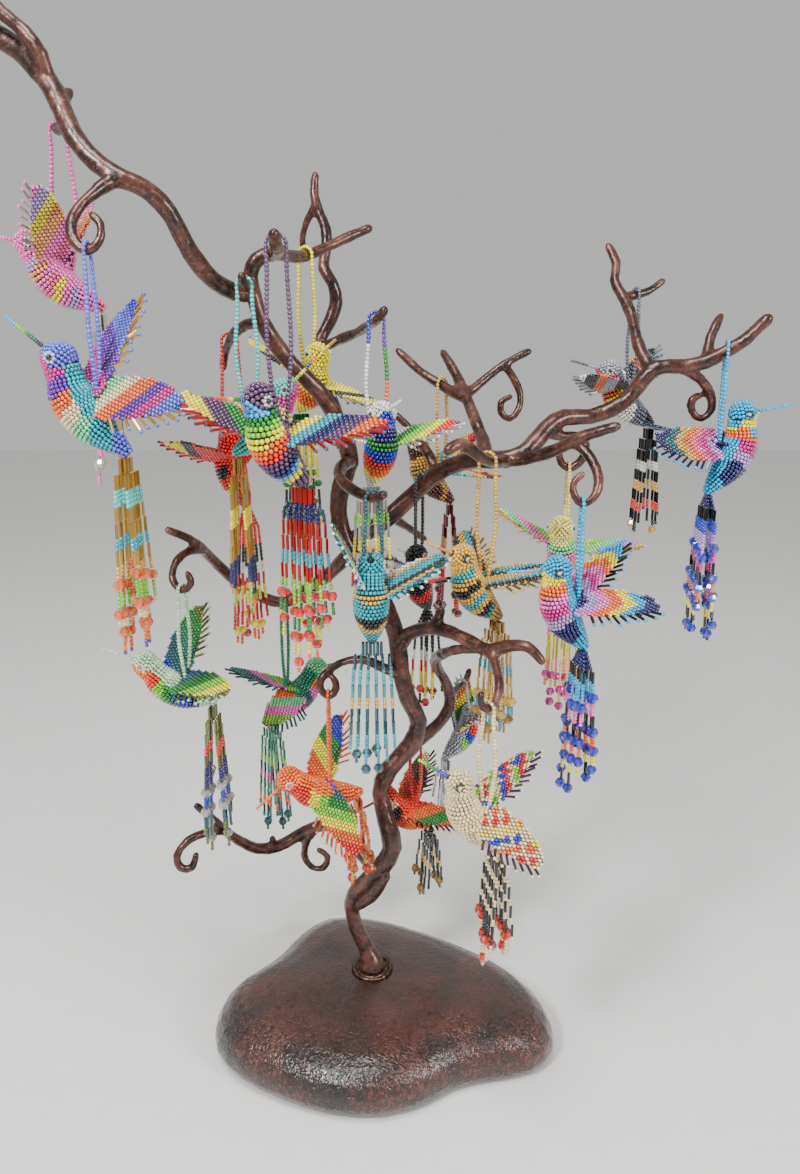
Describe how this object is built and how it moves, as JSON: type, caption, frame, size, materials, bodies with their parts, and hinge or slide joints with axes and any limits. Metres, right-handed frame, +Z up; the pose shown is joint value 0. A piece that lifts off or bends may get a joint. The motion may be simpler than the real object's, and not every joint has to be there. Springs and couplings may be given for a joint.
{
  "type": "ornament display tree",
  "caption": "Table-top tree of patinated metal with curling branches on a pebble-shaped base, hung with glass-bead hummingbirds whose loops and tassels swing.",
  "frame": {"origin": "underside of the felt pad under the base, on the vertical axis of the trunk's foot", "axes": "+Z up, -Y is the front that faces the viewer, +X is the viewer's right"},
  "size_m": [0.5566, 0.2434, 0.7354],
  "materials": {
    "bark": "dark brown-red patina over a cast metal, rubbed to bronze on the high spots",
    "base_finish": "glossy mottled dark red and black patina over a hammered surface",
    "collar": "darkened, rubbed bright on the edges",
    "steel": "plain zinc plate",
    "felt": "felt",
    "pink_beads": "opaque and silver-lined glass beads, gloss",
    "blue_beads": "opaque and silver-lined glass beads, gloss",
    "aqua_beads": "opaque and silver-lined glass beads, gloss",
    "yellow_beads": "opaque and silver-lined glass beads, gloss",
    "rainbow_beads": "opaque and silver-lined glass beads, gloss",
    "red_beads": "opaque and silver-lined glass beads, gloss",
    "white_beads": "opaque and silver-lined glass beads, gloss",
    "teal_beads": "opaque and silver-lined glass beads, gloss",
    "black_beads": "opaque and silver-lined glass beads, gloss",
    "maroon_beads": "opaque and silver-lined glass beads, gloss",
    "gold_beads": "opaque and silver-lined glass beads, gloss",
    "lemon_beads": "opaque and silver-lined glass beads, gloss",
    "cyan_beads": "opaque and silver-lined glass beads, gloss",
    "silver_black_beads": "opaque and silver-lined glass beads, gloss",
    "cyan_right_beads": "opaque and silver-lined glass beads, gloss",
    "pale_green_beads": "opaque and silver-lined glass beads, gloss",
    "green_beads": "opaque and silver-lined glass beads, gloss",
    "orange_beads": "opaque and silver-lined glass beads, gloss",
    "cream_beads": "opaque and silver-lined glass beads, gloss",
    "scarlet_beads": "opaque and silver-lined glass beads, gloss",
    "silver_beads": "opaque and silver-lined glass beads, gloss"
  },
  "bodies": {
    "stand": {"base": "base_finish", "base_pad": "felt", "socket_collar": "collar", "trunk_stud": "steel", "stud_washer": "steel", "stud_nut": "steel", "trunk": "bark", "arch_branch": "bark", "vine_branch": "bark", "trunk_hook": "bark", "lower_left_bough": "bark", "mid_left_branch": "bark", "crown_left_stem": "bark", "crown_right_stem": "bark", "top_left_bough": "bark", "right_bough": "bark", "right_lower_bough": "bark", "middle_stem": "bark"},
    "pink_bird": {"pink_bird": "pink_beads"},
    "blue_bird": {"blue_bird": "blue_beads"},
    "aqua_bird": {"aqua_bird": "aqua_beads"},
    "yellow_bird": {"yellow_bird": "yellow_beads"},
    "rainbow_bird": {"rainbow_bird": "rainbow_beads"},
    "red_bird": {"red_bird": "red_beads"},
    "white_bird": {"white_bird": "white_beads"},
    "teal_bird": {"teal_bird": "teal_beads"},
    "black_bird": {"black_bird": "black_beads"},
    "maroon_bird": {"maroon_bird": "maroon_beads"},
    "gold_bird": {"gold_bird": "gold_beads"},
    "lemon_bird": {"lemon_bird": "lemon_beads"},
    "cyan_bird": {"cyan_bird": "cyan_beads"},
    "silver_black_bird": {"silver_black_bird": "silver_black_beads"},
    "cyan_right_bird": {"cyan_right_bird": "cyan_right_beads"},
    "pale_green_bird": {"pale_green_bird": "pale_green_beads"},
    "green_bird": {"green_bird": "green_beads"},
    "orange_bird": {"orange_bird": "orange_beads"},
    "cream_bird": {"cream_bird": "cream_beads"},
    "scarlet_bird": {"scarlet_bird": "scarlet_beads"},
    "silver_bird": {"silver_bird": "silver_beads"},
    "pink_tassel": {"pink_tassel": "pink_beads"},
    "blue_tassel": {"blue_tassel": "blue_beads"},
    "aqua_tassel": {"aqua_tassel": "aqua_beads"},
    "yellow_tassel": {"yellow_tassel": "yellow_beads"},
    "rainbow_tassel": {"rainbow_tassel": "rainbow_beads"},
    "red_tassel": {"red_tassel": "red_beads"},
    "white_tassel": {"white_tassel": "white_beads"},
    "teal_tassel": {"teal_tassel": "teal_beads"},
    "black_tassel": {"black_tassel": "black_beads"},
    "maroon_tassel": {"maroon_tassel": "maroon_beads"},
    "gold_tassel": {"gold_tassel": "gold_beads"},
    "lemon_tassel": {"lemon_tassel": "lemon_beads"},
    "cyan_tassel": {"cyan_tassel": "cyan_beads"},
    "silver_black_tassel": {"silver_black_tassel": "silver_black_beads"},
    "cyan_right_tassel": {"cyan_right_tassel": "cyan_right_beads"},
    "pale_green_tassel": {"pale_green_tassel": "pale_green_beads"},
    "green_tassel": {"green_tassel": "green_beads"},
    "orange_tassel": {"orange_tassel": "orange_beads"},
    "cream_tassel": {"cream_tassel": "cream_beads"},
    "scarlet_tassel": {"scarlet_tassel": "scarlet_beads"},
    "silver_tassel": {"silver_tassel": "silver_beads"}
  },
  "joints": [
    {"name": "pink_swing", "type": "hinge", "parent": "stand", "child": "pink_bird", "pos_m": [-0.181, -0.032, 0.648], "axis": [-0.5433, 0.8396, 0], "range_deg": [-5, 5]},
    {"name": "blue_swing", "type": "hinge", "parent": "stand", "child": "blue_bird", "pos_m": [-0.152, -0.087, 0.576], "axis": [-0.9975, 0.0712, 0], "range_deg": [-6, 6]},
    {"name": "aqua_swing", "type": "hinge", "parent": "stand", "child": "aqua_bird", "pos_m": [-0.074, -0.034, 0.561], "axis": [0.0587, 0.9983, 0], "range_deg": [-3, 3]},
    {"name": "yellow_swing", "type": "hinge", "parent": "stand", "child": "yellow_bird", "pos_m": [-0.042, 0.028, 0.583], "axis": [0.53, 0.848, 0], "range_deg": [-3, 3]},
    {"name": "rainbow_swing", "type": "hinge", "parent": "stand", "child": "rainbow_bird", "pos_m": [-0.049, -0.07, 0.581], "axis": [-0.0665, 0.9978, 0], "range_deg": [-3, 3]},
    {"name": "red_swing", "type": "hinge", "parent": "stand", "child": "red_bird", "pos_m": [-0.093, 0.013, 0.527], "axis": [-0.4819, 0.8762, 0], "range_deg": [-3, 3]},
    {"name": "white_swing", "type": "hinge", "parent": "stand", "child": "white_bird", "pos_m": [0.007, -0.024, 0.54], "axis": [-0.2747, 0.9615, 0], "range_deg": [-3, 3]},
    {"name": "teal_swing", "type": "hinge", "parent": "stand", "child": "teal_bird", "pos_m": [0.005, -0.062, 0.433], "axis": [-0.59, 0.8074, 0], "range_deg": [-3, 3]},
    {"name": "black_swing", "type": "hinge", "parent": "stand", "child": "black_bird", "pos_m": [0.036, 0.034, 0.424], "axis": [-0.9635, 0.2676, 0], "range_deg": [-3, 3]},
    {"name": "maroon_swing", "type": "hinge", "parent": "stand", "child": "maroon_bird", "pos_m": [0.053, 0.062, 0.496], "axis": [-0.7944, 0.6074, 0], "range_deg": [-3, 3]},
    {"name": "gold_swing", "type": "hinge", "parent": "stand", "child": "gold_bird", "pos_m": [0.079, -0.031, 0.452], "axis": [0.5369, 0.8437, 0], "range_deg": [-4, 4]},
    {"name": "lemon_swing", "type": "hinge", "parent": "stand", "child": "lemon_bird", "pos_m": [0.142, 0.025, 0.44], "axis": [1, 0, 0], "range_deg": [-4, 4]},
    {"name": "cyan_swing", "type": "hinge", "parent": "stand", "child": "cyan_bird", "pos_m": [0.136, -0.061, 0.429], "axis": [1, 0, 0], "range_deg": [-5, 5]},
    {"name": "silver_black_swing", "type": "hinge", "parent": "stand", "child": "silver_black_bird", "pos_m": [0.19, 0.058, 0.559], "axis": [0.9487, 0.3162, 0], "range_deg": [-5, 5]},
    {"name": "cyan_right_swing", "type": "hinge", "parent": "stand", "child": "cyan_right_bird", "pos_m": [0.24, 0.004, 0.521], "axis": [-0.979, 0.204, 0], "range_deg": [-6, 6]},
    {"name": "pale_green_swing", "type": "hinge", "parent": "stand", "child": "pale_green_bird", "pos_m": [-0.126, -0.028, 0.364], "axis": [-0.9417, 0.3363, 0], "range_deg": [-5, 5]},
    {"name": "green_swing", "type": "hinge", "parent": "stand", "child": "green_bird", "pos_m": [-0.067, 0.048, 0.334], "axis": [-0.9749, 0.2228, 0], "range_deg": [-3, 3]},
    {"name": "orange_swing", "type": "hinge", "parent": "stand", "child": "orange_bird", "pos_m": [-0.028, -0.03, 0.288], "axis": [1, 0, 0], "range_deg": [-5, 5]},
    {"name": "cream_swing", "type": "hinge", "parent": "stand", "child": "cream_bird", "pos_m": [0.076, -0.107, 0.311], "axis": [0.7433, 0.669, 0], "range_deg": [-5, 5]},
    {"name": "scarlet_swing", "type": "hinge", "parent": "stand", "child": "scarlet_bird", "pos_m": [0.034, 0.024, 0.228], "axis": [0.812, 0.5836, 0], "range_deg": [-3, 3]},
    {"name": "silver_swing", "type": "hinge", "parent": "stand", "child": "silver_bird", "pos_m": [0.071, 0.058, 0.263], "axis": [0.4281, 0.9037, 0], "range_deg": [-4, 4]},
    {"name": "pink_tassel_swing", "type": "hinge", "parent": "pink_bird", "child": "pink_tassel", "pos_m": [-0.16691, -0.02486, 0.54458], "axis": [-0.4226, 0.9063, 0], "range_deg": [-6, 6]},
    {"name": "blue_tassel_swing", "type": "hinge", "parent": "blue_bird", "child": "blue_tassel", "pos_m": [-0.1394, -0.0879, 0.46198], "axis": [0.0349, 0.9994, 0], "range_deg": [-6, 6]},
    {"name": "aqua_tassel_swing", "type": "hinge", "parent": "aqua_bird", "child": "aqua_tassel", "pos_m": [-0.08256, -0.03399, 0.45526], "axis": [0, 1, 0], "range_deg": [-6, 6]},
    {"name": "yellow_tassel_swing", "type": "hinge", "parent": "yellow_bird", "child": "yellow_tassel", "pos_m": [-0.0498, 0.04089, 0.47773], "axis": [0.866, 0.5, 0], "range_deg": [-6, 6]},
    {"name": "rainbow_tassel_swing", "type": "hinge", "parent": "rainbow_bird", "child": "rainbow_tassel", "pos_m": [-0.0388, -0.05807, 0.43962], "axis": [-0.766, 0.6428, 0], "range_deg": [-6, 6]},
    {"name": "red_tassel_swing", "type": "hinge", "parent": "red_bird", "child": "red_tassel", "pos_m": [-0.08588, 0.01076, 0.41424], "axis": [0.342, 0.9397, 0], "range_deg": [-6, 6]},
    {"name": "white_tassel_swing", "type": "hinge", "parent": "white_bird", "child": "white_tassel", "pos_m": [0.00302, -0.01563, 0.43354], "axis": [0.9063, 0.4226, 0], "range_deg": [-6, 6]},
    {"name": "teal_tassel_swing", "type": "hinge", "parent": "teal_bird", "child": "teal_tassel", "pos_m": [0.00369, -0.05398, 0.33654], "axis": [1, 0, 0], "range_deg": [-6, 6]},
    {"name": "black_tassel_swing", "type": "hinge", "parent": "black_bird", "child": "black_tassel", "pos_m": [0.0427, 0.0446, 0.32923], "axis": [-0.866, 0.5, 0], "range_deg": [-6, 6]},
    {"name": "maroon_tassel_swing", "type": "hinge", "parent": "maroon_bird", "child": "maroon_tassel", "pos_m": [0.05966, 0.06229, 0.40834], "axis": [-0.0872, 0.9962, 0], "range_deg": [-6, 6]},
    {"name": "gold_tassel_swing", "type": "hinge", "parent": "gold_bird", "child": "gold_tassel", "pos_m": [0.08842, -0.02777, 0.34345], "axis": [-0.454, 0.891, 0], "range_deg": [-6, 6]},
    {"name": "lemon_tassel_swing", "type": "hinge", "parent": "lemon_bird", "child": "lemon_tassel", "pos_m": [0.14629, 0.0381, 0.35662], "axis": [-0.9397, 0.342, 0], "range_deg": [-6, 6]},
    {"name": "cyan_tassel_swing", "type": "hinge", "parent": "cyan_bird", "child": "cyan_tassel", "pos_m": [0.14142, -0.05934, 0.33316], "axis": [-0.1736, 0.9848, 0], "range_deg": [-6, 6]},
    {"name": "silver_black_tassel_swing", "type": "hinge", "parent": "silver_black_bird", "child": "silver_black_tassel", "pos_m": [0.2061, 0.05939, 0.46573], "axis": [-0.0872, 0.9962, 0], "range_deg": [-6, 6]},
    {"name": "cyan_right_tassel_swing", "type": "hinge", "parent": "cyan_right_bird", "child": "cyan_right_tassel", "pos_m": [0.2362, 0.00462, 0.42501], "axis": [0.0872, 0.9962, 0], "range_deg": [-6, 6]},
    {"name": "pale_green_tassel_swing", "type": "hinge", "parent": "pale_green_bird", "child": "pale_green_tassel", "pos_m": [-0.10933, -0.02811, 0.28104], "axis": [0, 1, 0], "range_deg": [-6, 6]},
    {"name": "green_tassel_swing", "type": "hinge", "parent": "green_bird", "child": "green_tassel", "pos_m": [-0.07811, 0.03878, 0.2409], "axis": [-0.6428, 0.766, 0], "range_deg": [-6, 6]},
    {"name": "orange_tassel_swing", "type": "hinge", "parent": "orange_bird", "child": "orange_tassel", "pos_m": [-0.00848, -0.02477, 0.20811], "axis": [-0.2588, 0.9659, 0], "range_deg": [-6, 6]},
    {"name": "cream_tassel_swing", "type": "hinge", "parent": "cream_bird", "child": "cream_tassel", "pos_m": [0.08372, -0.10456, 0.21377], "axis": [-0.1736, 0.9848, 0], "range_deg": [-6, 6]},
    {"name": "scarlet_tassel_swing", "type": "hinge", "parent": "scarlet_bird", "child": "scarlet_tassel", "pos_m": [0.04597, 0.02899, 0.15487], "axis": [-0.342, 0.9397, 0], "range_deg": [-6, 6]},
    {"name": "silver_tassel_swing", "type": "hinge", "parent": "silver_bird", "child": "silver_tassel", "pos_m": [0.05898, 0.05396, 0.2006], "axis": [-0.342, 0.9397, 0], "range_deg": [-6, 6]}
  ]
}
